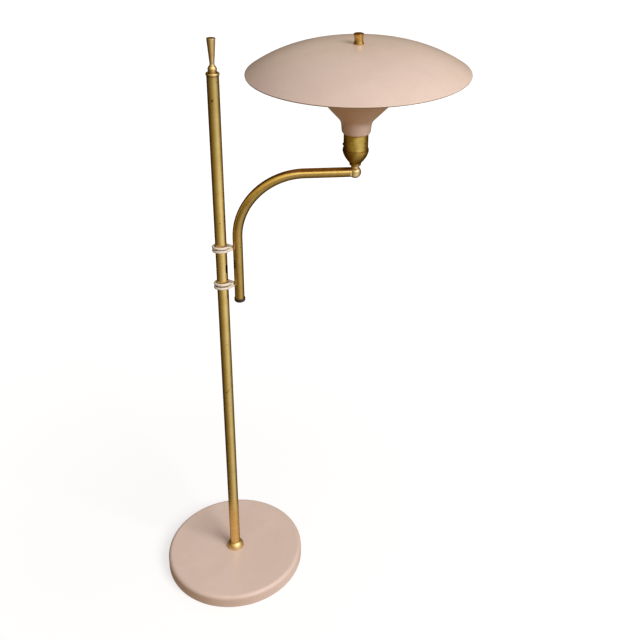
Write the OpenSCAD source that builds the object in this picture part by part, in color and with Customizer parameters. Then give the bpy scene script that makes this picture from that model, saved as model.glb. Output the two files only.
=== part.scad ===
// Adjustable bridge floor lamp: a weighted round base, a brass pole, a bent
// brass arm that slides and swings on the pole in two wire rings, and a head
// with a lamp socket, a reflector funnel and a shallow saucer shade.
//
// Frame: origin on the floor under the pole, +Z up, the arm reaches along +X,
// the cord enters the base at the back, on +Y. All lengths in millimetres.

/* [Base] */
// Diameter of the painted base
base_d = 305; // [250:1:360]
// Height of the base's top above the floor
base_h = 30; // [26:1:40]
// Radius of the rounded top edge
base_edge_r = 9; // [5:0.5:11]
// Thickness of the pressed steel shell
base_wall = 1.6; // [1:0.1:2.5]
// Height of the shell's lower edge above the floor
base_foot_gap = 1; // [0.5:0.1:1.5]
// Thickness of the felt pad
felt_t = 2; // [1.6:0.1:3]
// Thickness of the iron weight's flat middle
weight_web_t = 8; // [5:0.5:9]
// Width of the iron weight's thick outer ring
weight_rim_w = 18; // [10:1:30]
// Width of the cord channel through the weight's ring
channel_w = 12; // [11:0.5:20]

/* [Cord inlet] */
// Height of the inlet's axis above the floor
inlet_z = 11; // [9.5:0.5:13]
// Bore of the inlet bushing
inlet_bore_d = 7; // [5:0.5:8]
// Diameter of the inlet bushing's outer flange
inlet_flange_d = 14; // [12.5:0.5:16]
// Diameter of the hole in the shell that holds the bushing
inlet_hole_d = 10; // [9:0.5:11]
// Thickness of the bushing's flanges
inlet_flange_t = 1.6; // [1:0.1:2.5]

/* [Pole] */
// Outer diameter of the pole tube
pole_d = 22; // [18:0.5:26]
// Wall of the pole tube
pole_wall = 1.25; // [0.8:0.05:2]
// Length of the pole tube
pole_len = 1120; // [950:1:1300]
// Height of the cord slot's middle above the floor
slot_z = 770; // [500:1:900]
// Width of the cord slot
slot_w = 9; // [6:0.5:12]
// Length of the cord slot along the pole
slot_l = 20; // [14:0.5:26]
// How far the slot faces round from the arm's side to the front, in degrees
slot_turn = 28; // [0:1:60]
// Height of the joint in the pole, below the slot
pole_joint_z = 392; // [300:1:440]
// Length of the piece of pole that has the slot
slot_part = 36; // [32:1:60]

/* [Foot] */
// Diameter of the domed collar at the pole's foot
collar_d = 37; // [32:0.5:42]
// Height that the collar's dome would reach over the pole's axis
collar_h = 18; // [12:0.5:24]
// Diameter of the hollow threaded rod that holds the pole
tie_d = 13; // [11:0.5:14]
// Bore of the hollow threaded rod
tie_bore_d = 8.4; // [6:0.2:9]
// Length of the threaded plug in the pole's foot
foot_plug_l = 26; // [16:1:36]
// Width across the corners of the base nut
base_nut_d = 26; // [22:1:32]
// Thickness of the base nut
base_nut_t = 6; // [4:0.5:6.5]
// Diameter of the washer under the nut
base_washer_d = 36; // [30:1:50]
// Thickness of the washer
base_washer_t = 2; // [1:0.5:2.5]

/* [Pole top] */
// Diameter of the rolled ring on top of the pole
top_ring_d = 24.6; // [24:0.2:30]
// Height of the rolled ring
top_ring_h = 6.4; // [4:0.2:9]
// Diameter of the bead above the rolled ring
bead_d = 16.6; // [14:0.2:20]
// Height of the bead
bead_h = 11; // [8:0.2:18]
// Length of the tapered spire
spire_l = 48.5; // [30:0.5:80]
// Diameter of the spire at its top
spire_top_d = 15.6; // [11:0.2:20]
// Diameter of the spire at its narrow foot
spire_foot_d = 8.4; // [7.6:0.2:10]
// Length of the plug in the pole's top
top_plug_l = 22; // [18:1:30]
// Diameter of the spire's threaded stud
stud_d = 6.2; // [5:0.2:6.6]

/* [Arm] */
// Outer diameter of the arm tube
arm_d = 19; // [16:0.5:22]
// Wall of the arm tube
arm_wall = 1.25; // [0.8:0.05:2]
// Distance from the pole's axis to the arm's upright part
arm_offset = 32; // [31:0.5:42]
// Distance from the pole's axis to the ball elbow
arm_reach = 256; // [225:1:330]
// Height of the arm's level part above the floor
arm_h = 962; // [900:1:1000]
// Radius of the bend, at the tube's middle
arm_bend_r = 128; // [80:1:160]
// Distance from the bend down to the upper ring
ring_below_bend = 21.5; // [14:0.5:40]
// Distance between the two rings
ring_pitch = 80; // [50:1:110]
// Length of the arm below the lower ring
arm_tail = 31; // [18:0.5:50]
// Diameter of the black bushing's flange at the arm's lower end
tail_flange_d = 21.6; // [20:0.2:25]
// Height of that flange
tail_flange_h = 8; // [4:0.5:12]
// Bore of that bushing, for the cord
tail_bore_d = 7.2; // [5:0.2:9]

/* [Rings on the pole] */
// Diameter of the covered wire
wire_d = 5.2; // [4:0.1:5.6]
// Gap between the upper ring's two turns
upper_turn_gap = 1.4; // [0.8:0.1:4]
// Gap between the lower ring's two turns
lower_turn_gap = 3; // [0.8:0.1:4]
// How far each ring tips, in degrees, its far side lower
ring_tip = 8; // [0:1:10]
// Wall of the thin friction bush inside each ring
bush_wall = 0.75; // [0.6:0.05:1]
// Height of each friction bush
bush_h = 9; // [6:0.5:14]
// Gap between the bush and the wire around it
wire_gap = 0.4; // [0.35:0.05:0.6]

/* [Ball elbow] */
// Diameter of the ball
ball_d = 23.6; // [20:0.2:26]
// Diameter of the boss that meets the arm
boss_d = 18.6; // [16:0.2:19.6]
// Distance from the ball's middle to the boss's end
boss_l = 10.2; // [8:0.2:12]
// Diameter of the neck above the ball
neck_d = 15.4; // [13:0.2:18]
// Height of the neck's top above the ball's middle
neck_h = 14.5; // [12.5:0.5:20]
// Diameter of the hollow threaded nipples
nipple_d = 9.9; // [9:0.1:10.4]
// Bore of the nipples
nipple_bore_d = 6.6; // [5:0.2:7.4]
// Length of the plug in the arm's end
arm_plug_l = 18; // [12:1:30]

/* [Socket] */
// Diameter of the cap's small lower hub
cap_hub_d = 22; // [21:0.2:26]
// Height of that hub
cap_hub_h = 5.5; // [4:0.5:8]
// Diameter of the cap at its widest
cap_d = 49.2; // [48.6:0.2:54]
// Overall height of the cap
cap_h = 32.5; // [28:0.5:42]
// Thickness of the brass cap
cap_wall = 0.9; // [0.7:0.1:1.1]
// Outer diameter of the socket shell
shell_d = 46.4; // [46:0.1:47]
// Thickness of the socket shell
shell_wall = 0.7; // [0.5:0.1:0.8]
// How far the shell reaches down inside the cap
shell_tuck = 3; // [2:0.5:5]
// Height of the shell's wide part above the cap
shell_h = 30; // [20:0.5:40]
// Diameter of the threaded neck that holds the funnel
thread_d = 43.9; // [43.6:0.1:44.2]
// Height of that threaded neck
thread_h = 12; // [9:0.5:16]
// Height of the switch key's axis above the cap
key_above_cap = 9.6; // [6:0.2:12]
// Diameter of the switch key's shaft
key_d = 4.4; // [3:0.2:5]
// How far the switch key stands out of the shell
key_out = 1.6; // [1:0.2:12]

/* [Funnel] */
// Thickness of the funnel's metal
funnel_wall = 1.2; // [0.8:0.1:1.6]
// Diameter of the funnel's cup
cup_d = 56; // [54:0.5:62]
// Height of the funnel's cup
cup_h = 22; // [18:0.5:40]
// Radius of the cup's rounded lower edge
cup_corner_r = 6.5; // [4:0.5:8]
// Diameter at which the flare ends and the flat rim begins
flare_d = 168; // [140:1:190]
// Overall height of the funnel
funnel_h = 85; // [70:1:95]
// Width of the flat rim
funnel_rim_w = 11; // [11:0.5:16]
// Diameter of the clamp ring inside the cup
clamp_d = 46.6; // [45.6:0.2:46.8]
// Height of the clamp ring
clamp_h = 5; // [3:0.5:8]

/* [Bulb] */
// Diameter of the bulb's screw base
bulb_base_d = 39.4; // [39:0.1:39.6]
// Length of the bulb's screw base
bulb_base_l = 34; // [30:0.5:38]
// Diameter of the bulb's neck
bulb_neck_d = 34.4; // [30:0.2:35]
// Diameter of the bulb
bulb_d = 79; // [68:1:84]
// Height of the bulb's glass above its base
bulb_glass_l = 108; // [100:1:112]

/* [Shade] */
// Diameter of the shade
shade_d = 406; // [340:1:440]
// Rise of the shade from rim to crown
shade_rise = 49.5; // [40:0.5:65]
// How the crown fills out; 2 is a plain bowl, more is fuller at the rim
shade_fullness = 2.8; // [2.2:0.1:3.2]
// Thickness of the shade
shade_wall = 1; // [0.8:0.1:1.4]
// Diameter of the rolled bead at the shade's rim
shade_bead_d = 3; // [2.4:0.1:4]
// Height of the shade's rim above the funnel's rim
shade_gap = 31; // [24:1:45]
// Lean of the shade away from the pole, in degrees
shade_lean = 2; // [0:0.5:3]
// Diameter of the hub that carries the shade
hub_d = 28; // [26:1:40]
// Thickness of the hub
hub_t = 2.5; // [2:0.5:4]
// Width of the three legs' strip
leg_w = 7; // [5:0.5:9]
// Thickness of the legs' strip
leg_t = 1.5; // [1:0.1:2]
// Length of each leg's flat foot
leg_foot_l = 10; // [9:0.2:10.4]
// Diameter of the screws through the legs' feet
leg_screw_d = 3; // [2.4:0.2:3.4]
// Thickness of the fibre washer under the shade
fibre_t = 1; // [0.5:0.1:2]
// Diameter of the stud through the shade
shade_stud_d = 6.4; // [5:0.2:7]

/* [Shade finial] */
// Height of the finial
finial_h = 19; // [14:0.5:30]
// Diameter of the finial's two ends
finial_d = 18.2; // [15:0.2:22]
// Diameter of the finial's waist
finial_waist_d = 15.8; // [11:0.2:16.4]

/* [Hidden] */
$fn = 64;
eps = 0.01;
// clearance all round of a threaded or pressed fit, and of a running fit
fit = 0.05;
// clearance between a loose cover and what it covers
ease = 0.1;

base_r = base_d / 2;
shell_top = base_h - base_wall;
weight_r = base_r - base_edge_r - 0.5;
web_z = shell_top - weight_web_t;
tie_r = tie_d / 2;
pole_r = pole_d / 2;
pole_in_r = pole_r - pole_wall;
pole_top = base_h + pole_len;
washer_z = web_z - base_washer_t;
nut_z = washer_z - base_nut_t;
tie_below_nut = 1.5;
collar_foot_h = 1;
stud_r = stud_d / 2;

arm_r = arm_d / 2;
arm_in_r = arm_r - arm_wall;
bend_x = arm_offset + arm_bend_r;
bend_z = arm_h - arm_bend_r;
upper_ring_z = bend_z - ring_below_bend;
lower_ring_z = upper_ring_z - ring_pitch;
arm_end_z = lower_ring_z - arm_tail;
arm_end_x = arm_reach - boss_l - ease;
tail_plug_l = 12;

bush_in_r = pole_r + fit;
bush_r = bush_in_r + bush_wall;
wire_r = wire_d / 2;
loop_r = bush_r + wire_gap + wire_r;
loop_steps = 24;
wire_sides = 6;

nipple_r = nipple_d / 2;
elbow_bore_r = nipple_r + fit;
head_z = arm_h;
cap_z = head_z + neck_h;
cap_top = cap_z + cap_h;
shell_r = shell_d / 2;
shell_in_r = shell_r - shell_wall;
shell_foot_z = cap_top - shell_tuck;
seat_z = cap_top + shell_h;
thread_r = thread_d / 2;
thread_in_r = thread_r - shell_wall;
key_z = cap_top + key_above_cap;
key_r = key_d / 2;
liner_r = shell_in_r - ease;
liner_t = 0.6;
body_r = liner_r - liner_t - ease;
body_z = shell_foot_z + 4;
body_top = key_z + key_r + 3;
screw_shell_t = 0.6;
screw_shell_r = thread_in_r - ease;
screw_shell_top = seat_z + thread_h - 1;
contact_h = 3;
nut_d = 16;
nut_t = 4.5;

cup_r = cup_d / 2;
cup_corner_x = cup_r - 0.6 - cup_corner_r;
flare_r = flare_d / 2;
funnel_top = seat_z + funnel_h;
funnel_r = flare_r + funnel_rim_w;
leg_foot_r = flare_r + funnel_rim_w / 2;

bulb_tip_z = body_top + contact_h;
bulb_base_z = bulb_tip_z + 4;
bulb_glass_z = bulb_base_z + bulb_base_l - 8;
bulb_top = bulb_base_z + bulb_base_l + bulb_glass_l;

shade_r = shade_d / 2;
rim_z = funnel_top + shade_gap;
crown_z = rim_z + shade_rise;
shade_steps = 28;
hub_top = crown_z - shade_wall - fibre_t - fit;
hub_z = hub_top - hub_t;
shade_stud_r = shade_stud_d / 2;
leg_angles = [90, 210, 330];
leg_nut_t = 2.4;
stud_end = 2;
finial_thread = finial_h - 6;

enamel = [0.82, 0.71, 0.65];
brass = [0.74, 0.60, 0.32];
old_brass = [0.62, 0.50, 0.24];
steel = [0.66, 0.66, 0.66];
black = [0.10, 0.08, 0.07];
wire_cover = [0.90, 0.83, 0.77];

// ---------------------------------------------------------------- functions

// unit vector along v
function unit(v) = v / norm(v);

// points of an arc in the profile plane, from angle a0 to a1 in n steps
function arc(c, r, a0, a1, n) = [
    for (i = [0:n]) let (a = a0 + (a1 - a0) * i / n)
        [c[0] + r * cos(a), c[1] + r * sin(a)]
];

// points of a quadratic curve from p to r that leans towards q
function curve(p, q, r, n) = [
    for (i = [0:n]) let (t = i / n)
        (1 - t) * (1 - t) * p + 2 * t * (1 - t) * q + t * t * r
];

// left normal of the profile's stretch from a to b
function left(a, b) = unit([a[1] - b[1], b[0] - a[0]]);

// the profile moved t to its left, with mitred corners
function shifted(path, t) = [
    for (i = [0:len(path) - 1])
        let (
            last = len(path) - 1,
            before = left(path[max(i - 1, 0)], path[max(i, 1)]),
            after = left(path[min(i, last - 1)], path[min(i + 1, last)]),
            mitre = unit(before + after)
        )
        path[i] + mitre * t / (mitre * after)
];

// the list backwards
function backwards(list) = [for (i = [len(list) - 1:-1:0]) list[i]];

// a smooth step from 0 to 1 as x goes from 0 to 1
function ease_step(x) = let (t = max(0, min(1, x))) (1 - cos(180 * t)) / 2;

// The shade's face ends where the rolled bead at its rim takes over.
bead_r = shade_bead_d / 2;
bead_angle = 56;
edge_r = shade_r - bead_r * (1 - cos(bead_angle));
edge_z = rim_z + bead_r * sin(bead_angle);

// height of the shade's outer face at radius r
function crown(r) =
    edge_z + (crown_z - edge_z) * (1 - pow(r / edge_r, shade_fullness));

// ------------------------------------------------------------------ helpers

// a tube standing on z = 0
module tube(r, in_r, h) {
    difference() {
        cylinder(r = r, h = h);
        translate([0, 0, -eps]) cylinder(r = in_r, h = h + 2 * eps);
    }
}

// a revolved wall: the profile's line and the same line moved t to its left
module spun_wall(path, t) {
    rotate_extrude() polygon(concat(path, backwards(shifted(path, t))));
}

// a six-sided nut on z = 0
module hex_nut(d, t, bore_r) {
    difference() {
        cylinder(d = d, h = t, $fn = 6);
        translate([0, 0, -eps]) cylinder(r = bore_r, h = t + 2 * eps);
    }
}

// moves its children to the head's axis
module on_head() {
    translate([arm_reach, 0, 0]) children();
}

// what sits on the shade carrier's hub, which leans
module on_hub() {
    on_head() translate([0, 0, hub_z]) rotate([0, -shade_lean, 0])
        translate([0, 0, -hub_z]) children();
}

// --------------------------------------------------------------------- base

module base_shell() {
    outer = concat(
        [[base_r, base_foot_gap]],
        arc([base_r - base_edge_r, base_h - base_edge_r], base_edge_r, 0, 90, 10),
        [[0, base_h]]
    );
    inner = concat(
        [[0, shell_top]],
        arc([base_r - base_edge_r, base_h - base_edge_r],
            base_edge_r - base_wall, 90, 0, 10),
        [[base_r - base_wall, base_foot_gap]]
    );
    color(enamel) difference() {
        rotate_extrude($fn = 128) polygon(concat(outer, inner));
        translate([0, 0, shell_top - 1]) cylinder(r = tie_r + fit, h = base_wall + 2);
        translate([0, base_r - base_wall - 2, inlet_z])
            rotate([-90, 0, 0]) cylinder(d = inlet_hole_d, h = base_wall + 4);
    }
}

module base_weight() {
    ring_in = weight_r - weight_rim_w;
    color([0.25, 0.24, 0.23]) difference() {
        rotate_extrude($fn = 128) polygon([
            [0, web_z], [ring_in, web_z], [ring_in, felt_t],
            [weight_r, felt_t], [weight_r, shell_top], [0, shell_top]
        ]);
        translate([0, 0, web_z - 1])
            cylinder(r = tie_r + fit, h = weight_web_t + 2);
        translate([-channel_w / 2, ring_in - 1, felt_t - 1])
            cube([channel_w, weight_rim_w + 2, inlet_z + channel_w / 2 - felt_t + 1]);
    }
}

module base_felt() {
    color([0.20, 0.24, 0.20])
        cylinder(r = base_r - base_wall - 1, h = felt_t, $fn = 128);
}

module base_washer() {
    color(steel) translate([0, 0, washer_z])
        tube(base_washer_d / 2, tie_r + fit, base_washer_t);
}

module base_nut() {
    color(steel) translate([0, 0, nut_z])
        hex_nut(base_nut_d, base_nut_t, tie_r + fit);
}

// a grommet with a flange on each side of the base shell's wall
module cord_inlet_bushing() {
    inner_r = inlet_flange_d / 2 - 1;
    // the wall is curved, so the inner flange stands off its middle
    face = sqrt(pow(base_r - base_wall, 2) - inner_r * inner_r) - fit;
    start = face - inlet_flange_t;
    length = base_r + inlet_flange_t - start;
    color(black) translate([0, start, inlet_z]) rotate([-90, 0, 0])
        difference() {
            union() {
                cylinder(r = inner_r, h = inlet_flange_t);
                cylinder(d = inlet_hole_d - 2 * fit, h = length);
                translate([0, 0, base_r - start])
                    cylinder(d = inlet_flange_d, h = inlet_flange_t);
            }
            translate([0, 0, -1]) cylinder(d = inlet_bore_d, h = length + 2);
        }
}

// --------------------------------------------------------------------- pole

module pole_tie_rod() {
    foot = nut_z - tie_below_nut;
    color(steel) translate([0, 0, foot])
        tube(tie_r, tie_bore_d / 2, base_h + foot_plug_l - 2 - foot);
}

module pole_foot_plug() {
    color(brass) translate([0, 0, base_h])
        tube(pole_in_r - fit, tie_r + fit, foot_plug_l);
}

module foot_collar() {
    bore = pole_r + ease;
    collar_r = collar_d / 2;
    dome_h = collar_h - collar_foot_h;
    dome = [
        for (i = [0:10]) let (a = acos(bore / collar_r) * i / 10)
            [collar_r * cos(a), collar_foot_h + dome_h * sin(a)]
    ];
    color(brass) translate([0, 0, base_h])
        rotate_extrude() polygon(concat([[bore, 0], [collar_r, 0]], dome));
}

// the pole's tube in four lengths that meet end to end, from the foot up; the
// third one has the cord slot
module pole_foot_tube() {
    color(brass) translate([0, 0, base_h]) tube(pole_r, pole_in_r, pole_joint_z - base_h);
}

module pole_lower_tube() {
    color(brass) translate([0, 0, pole_joint_z])
        tube(pole_r, pole_in_r, slot_z - slot_part / 2 - pole_joint_z);
}

module pole_slot_tube() {
    round_r = slot_w / 2;
    spread = slot_l / 2 - round_r;
    color(brass) difference() {
        translate([0, 0, slot_z - slot_part / 2]) tube(pole_r, pole_in_r, slot_part);
        rotate([0, 0, -slot_turn]) {
            for (side = [-1, 1])
                translate([0, 0, slot_z + side * spread])
                    rotate([0, 90, 0]) cylinder(r = round_r, h = pole_d);
            translate([0, -round_r, slot_z - spread])
                cube([pole_d, slot_w, 2 * spread]);
        }
    }
}

module pole_upper_tube() {
    start = slot_z + slot_part / 2;
    color(brass) translate([0, 0, start]) tube(pole_r, pole_in_r, pole_top - start);
}

module pole_top_plug() {
    color(brass) translate([0, 0, pole_top - top_plug_l])
        tube(pole_in_r - fit, stud_r + fit, top_plug_l);
}

// a rolled ring with a bead above it
module pole_top_ring() {
    roll = top_ring_h / 2;
    bead_r = bead_d / 2;
    waist_r = bead_r - 1.2;
    bead_top_r = spire_foot_d / 2 + 1.6;
    profile = concat(
        [[stud_r + fit, 0]],
        arc([top_ring_d / 2 - roll, roll], roll, -90, 90, 12),
        [[waist_r, top_ring_h]],
        curve([waist_r, top_ring_h + 1.5], [bead_r + 1.6, top_ring_h + bead_h * 0.5],
              [bead_top_r, top_ring_h + bead_h], 8),
        [[stud_r + fit, top_ring_h + bead_h]]
    );
    color(brass) translate([0, 0, pole_top]) rotate_extrude() polygon(profile);
}

// a spire that widens upwards, with a threaded stud below
module pole_spire() {
    foot_z = pole_top + top_ring_h + bead_h;
    profile = concat(
        [[0, 0], [spire_foot_d / 2 + 0.8, 0], [spire_foot_d / 2 + 0.6, 1.2],
         [spire_foot_d / 2, 3]],
        [[spire_top_d / 2, spire_l - 0.9], [spire_top_d / 2 - 0.4, spire_l - 0.4],
         [spire_top_d / 4, spire_l - 0.1], [0, spire_l]]
    );
    stud_l = bead_h + top_ring_h + top_plug_l - 3;
    color(brass) translate([0, 0, foot_z]) {
        rotate_extrude() polygon(profile);
        translate([0, 0, -stud_l]) cylinder(r = stud_r, h = stud_l + 1);
    }
}

// -------------------------------------------------------- rings on the pole

// Each ring is one covered wire. It leaves the arm in a straight stretch that
// is square to the arm, goes round the pole for two turns and comes straight
// back to the arm on the far side. It climbs where it passes the arm.
leave_angle = acos(loop_r / arm_offset);
leg_length = sqrt(arm_offset * arm_offset - loop_r * loop_r) - arm_r;
wire_bite = arm_wall / 2;
wrap = 720 - 2 * leave_angle;
wrap_steps = ceil(loop_steps * wrap / 360);
climb_half = 40;

// height of the wire's middle at angle a past the arm, for turns gap apart
function turn_z(a, gap) =
    (wire_d + gap) * (ease_step((a - 360 + climb_half) / (2 * climb_half)) - 0.5)
    + loop_r * tan(ring_tip) * sin(a);

// point on the wire, a degrees round the pole from the arm, going by the front
function turn_point(a, gap) =
    [loop_r * cos(a), -loop_r * sin(a), turn_z(a, gap)];

// direction of the straight leg that starts beside the arm, on side -1 or 1
function leg_direction(side) = [sin(leave_angle), side * cos(leave_angle), 0];

// the wire's middle line
function ring_path(gap) = let (
    first = turn_point(leave_angle, gap),
    last = turn_point(leave_angle + wrap, gap),
    reach = leg_length + wire_bite,
    near = leg_direction(1),
    far = leg_direction(-1)
) concat(
    [for (s = [1, 0.68, 0.36]) first + near * reach * s],
    [for (i = [0:wrap_steps]) turn_point(leave_angle + wrap * i / wrap_steps, gap)],
    [for (s = [0.36, 0.68, 1]) last + far * reach * s]
);

// direction of a path at point i
function heading(path, i) =
    unit(path[min(i + 1, len(path) - 1)] - path[max(i - 1, 0)]);

// corners of a swept tube's section at point i
function section(path, i, r, sides) = let (
    ahead = heading(path, i),
    aside = unit(cross(ahead, [0, 0, 1])),
    above = cross(aside, ahead)
) [for (k = [0:sides - 1])
    path[i] + r * (aside * cos(360 * k / sides) + above * sin(360 * k / sides))];

// least distance between the surfaces of parts of a wire that aren't neighbours
function least_gap(path, apart) = min([
    for (i = [0:len(path) - 1]) for (j = [i + apart:1:len(path) - 1])
        norm(path[i] - path[j])
]) - wire_d;

// a closed tube swept along a path
module swept_tube(path, r, sides) {
    n = len(path);
    points = [for (i = [0:n - 1]) each section(path, i, r, sides)];
    walls = [
        for (i = [0:n - 2]) for (k = [0:sides - 1])
            let (a = i * sides + k, b = i * sides + (k + 1) % sides)
                each [[a, b, b + sides], [a, b + sides, a + sides]]
    ];
    start = [for (k = [1:sides - 2]) [0, k + 1, k]];
    end = [for (k = [1:sides - 2])
        [(n - 1) * sides, (n - 1) * sides + k, (n - 1) * sides + k + 1]];
    polyhedron(points = points, faces = concat(walls, start, end), convexity = 8);
}

module wire_ring(z, gap) {
    path = ring_path(gap);
    echo(least_gap_of_the_wire = least_gap(path, 8));
    color(wire_cover) translate([0, 0, z]) swept_tube(path, wire_r, wire_sides);
}

module upper_wire_ring() {
    wire_ring(upper_ring_z, upper_turn_gap);
}

module lower_wire_ring() {
    wire_ring(lower_ring_z, lower_turn_gap);
}

module friction_bush(z) {
    color([0.80, 0.74, 0.68]) translate([0, 0, z - bush_h / 2])
        tube(bush_r, bush_in_r, bush_h);
}

module upper_friction_bush() {
    friction_bush(upper_ring_z);
}

module lower_friction_bush() {
    friction_bush(lower_ring_z);
}

// ---------------------------------------------------------------------- arm

// the arm's course as a solid bar of radius r, each end longer by extra
module arm_bar(r, extra) {
    translate([arm_offset, 0, arm_end_z - extra])
        cylinder(r = r, h = bend_z - arm_end_z + extra);
    translate([bend_x, 0, bend_z]) rotate([90, 0, 0])
        rotate_extrude(angle = 90, start = 90, $fn = 96)
            translate([arm_bend_r, 0]) circle(r = r, $fn = 48);
    translate([bend_x, 0, arm_h]) rotate([0, 90, 0])
        cylinder(r = r, h = arm_end_x - bend_x + extra);
}

module arm_tube() {
    color(brass) difference() {
        arm_bar(arm_r, 0);
        arm_bar(arm_in_r, 1);
    }
}

// a black bushing with a rounded flange that closes the arm's lower end
module arm_end_bushing() {
    flange_r = tail_flange_d / 2;
    round_r = 3;
    profile = concat(
        [[tail_bore_d / 2, -tail_flange_h]],
        arc([flange_r - round_r, -tail_flange_h + round_r], round_r, -90, 0, 6),
        [[flange_r, -0.8], [flange_r - 0.8, 0], [arm_in_r - fit, 0],
         [arm_in_r - fit, tail_plug_l], [tail_bore_d / 2, tail_plug_l]]
    );
    color(black) translate([arm_offset, 0, arm_end_z])
        rotate_extrude() polygon(profile);
}

module arm_end_plug() {
    color(brass) translate([arm_end_x - arm_plug_l, 0, arm_h]) rotate([0, 90, 0])
        tube(arm_in_r - fit, nipple_r + fit, arm_plug_l);
}

module arm_nipple() {
    start = arm_end_x - arm_plug_l + 3;
    color(steel) translate([start, 0, arm_h]) rotate([0, 90, 0])
        tube(nipple_r, nipple_bore_d / 2, arm_reach - 2 - start);
}

// --------------------------------------------------------------- ball elbow

module ball_elbow() {
    neck_r = neck_d / 2;
    ball_r = ball_d / 2;
    profile = concat(
        arc([0, 0], ball_r, -90, acos(neck_r / ball_r), 24),
        [[neck_r, neck_h], [elbow_bore_r, neck_h], [elbow_bore_r, -1], [0, -1]]
    );
    color(brass) on_head() translate([0, 0, head_z]) difference() {
        union() {
            rotate_extrude() polygon(profile);
            translate([-elbow_bore_r - 0.5, 0, 0]) rotate([0, -90, 0])
                cylinder(d = boss_d, h = boss_l - elbow_bore_r - 0.5);
        }
        translate([-2, 0, 0]) rotate([0, -90, 0])
            cylinder(r = elbow_bore_r, h = boss_l);
        translate([-boss_l - ball_d, -ball_d / 2, -ball_d / 2]) cube(ball_d);
    }
}

module neck_nipple() {
    start = nipple_r + 1;
    color(steel) on_head() translate([0, 0, head_z + start])
        tube(nipple_r, nipple_bore_d / 2, neck_h + cap_wall + nut_t + 2 - start);
}

module neck_nut() {
    color(steel) on_head() translate([0, 0, cap_z + cap_wall])
        hex_nut(nut_d, nut_t, nipple_r + fit);
}

// ------------------------------------------------------------------- socket

module socket_cap() {
    hub_r = cap_hub_d / 2;
    lip_r = cap_d / 2;
    lip_h = shell_tuck + 1.4;
    path = concat(
        [[elbow_bore_r, 0], [hub_r - 0.8, 0], [hub_r, 0.8], [hub_r, cap_hub_h - 1]],
        curve([hub_r + 0.9, cap_hub_h], [lip_r - 2.4, (cap_h - lip_h) * 0.62],
              [lip_r - 0.3, cap_h - lip_h - 1], 10),
        [[lip_r, cap_h - lip_h + 0.5], [lip_r, cap_h]]
    );
    color(old_brass) on_head() translate([0, 0, cap_z]) spun_wall(path, cap_wall);
}

// a cylindrical shell that snaps into the cap; its top narrows to a thread
module socket_shell() {
    snap_r = cap_d / 2 - cap_wall - fit;
    path = [
        [snap_r, shell_foot_z], [snap_r, shell_foot_z + 1.2],
        [shell_r, shell_foot_z + 2.2], [shell_r, seat_z - 0.8],
        [shell_r - 0.6, seat_z], [thread_r, seat_z], [thread_r, seat_z + thread_h]
    ];
    color(old_brass) on_head() difference() {
        spun_wall(path, shell_wall);
        translate([0, 0, key_z]) rotate([0, -90, 0])
            cylinder(r = key_r + ease, h = shell_d);
    }
}

module socket_liner() {
    color([0.75, 0.66, 0.50]) on_head() difference() {
        translate([0, 0, body_z]) tube(liner_r, liner_r - liner_t, seat_z - 2 - body_z);
        translate([0, 0, key_z]) rotate([0, -90, 0])
            cylinder(r = key_r + ease, h = shell_d);
    }
}

terminal_r = 2.6;
terminal_x = 13;

module socket_body() {
    color([0.30, 0.18, 0.12]) on_head() difference() {
        translate([0, 0, body_z]) cylinder(r = body_r, h = body_top - body_z);
        translate([0, 0, key_z]) rotate([0, -90, 0])
            translate([0, 0, 6]) cylinder(r = key_r + fit, h = shell_d);
        for (side = [-1, 1])
            translate([0, side * terminal_x, body_z - 1])
                cylinder(r = terminal_r / 2 + fit, h = 6);
    }
}

module screw_shell() {
    color(brass) on_head() translate([0, 0, body_top]) {
        tube(screw_shell_r, screw_shell_r - screw_shell_t, screw_shell_top - body_top);
        tube(screw_shell_r, 9, screw_shell_t);
    }
}

module centre_contact() {
    color(brass) on_head() translate([0, 0, body_top]) {
        cylinder(r = 5, h = 1);
        cylinder(r = 2.5, h = contact_h - ease);
    }
}

module terminal_screws() {
    color(steel) on_head() for (side = [-1, 1])
        translate([0, side * terminal_x, body_z]) {
            translate([0, 0, -1.8]) cylinder(r = terminal_r + 0.6, h = 1.8);
            cylinder(r = terminal_r / 2, h = 4.5);
        }
}

// a slotted stub that turns the switch
module switch_key() {
    slot = 1;
    end_x = shell_r + key_out;
    color(black) on_head() translate([0, 0, key_z]) rotate([0, -90, 0])
        difference() {
            translate([0, 0, 8]) cylinder(r = key_r, h = end_x - 8);
            translate([-key_r - 1, -slot / 2, end_x - 1.4])
                cube([2 * key_r + 2, slot, 2]);
        }
}

// ------------------------------------------------------------------- funnel

// a cup that opens into a wide flare and ends in a flat rim
module reflector_funnel() {
    flare_z = cup_h + 2;
    slope = unit([flare_r - cup_r - 1, funnel_h - flare_z]);
    path = concat(
        [[thread_r + ease, 0]],
        arc([cup_corner_x, cup_corner_r], cup_corner_r, -74, 0, 7),
        [[cup_r + 0.2, cup_h - 6]],
        curve([cup_r + 0.4, cup_h - 5], [cup_r + 1, flare_z],
              [cup_r + 1, flare_z] + slope * 8, 6),
        [[flare_r, funnel_h - funnel_wall], [funnel_r, funnel_h - funnel_wall]]
    );
    color(enamel) on_head() difference() {
        translate([0, 0, seat_z]) spun_wall(path, funnel_wall);
        translate([0, 0, seat_z - 1]) cylinder(r = thread_r + ease, h = cup_corner_r);
        for (a = leg_angles)
            rotate([0, 0, a]) translate([leg_foot_r, 0, funnel_top - funnel_wall - 1])
                cylinder(r = leg_screw_d / 2 + fit, h = funnel_wall + 2);
    }
}

// a ring on the neck's thread that rests on the rounded inside of the cup
module funnel_clamp_ring() {
    reach = clamp_d / 2 - cup_corner_x;
    rest = cup_corner_r + ease - sqrt(pow(cup_corner_r - funnel_wall, 2) - pow(reach, 2));
    color(brass) on_head() translate([0, 0, seat_z + rest])
        tube(clamp_d / 2, thread_r + fit, clamp_h);
}

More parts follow.
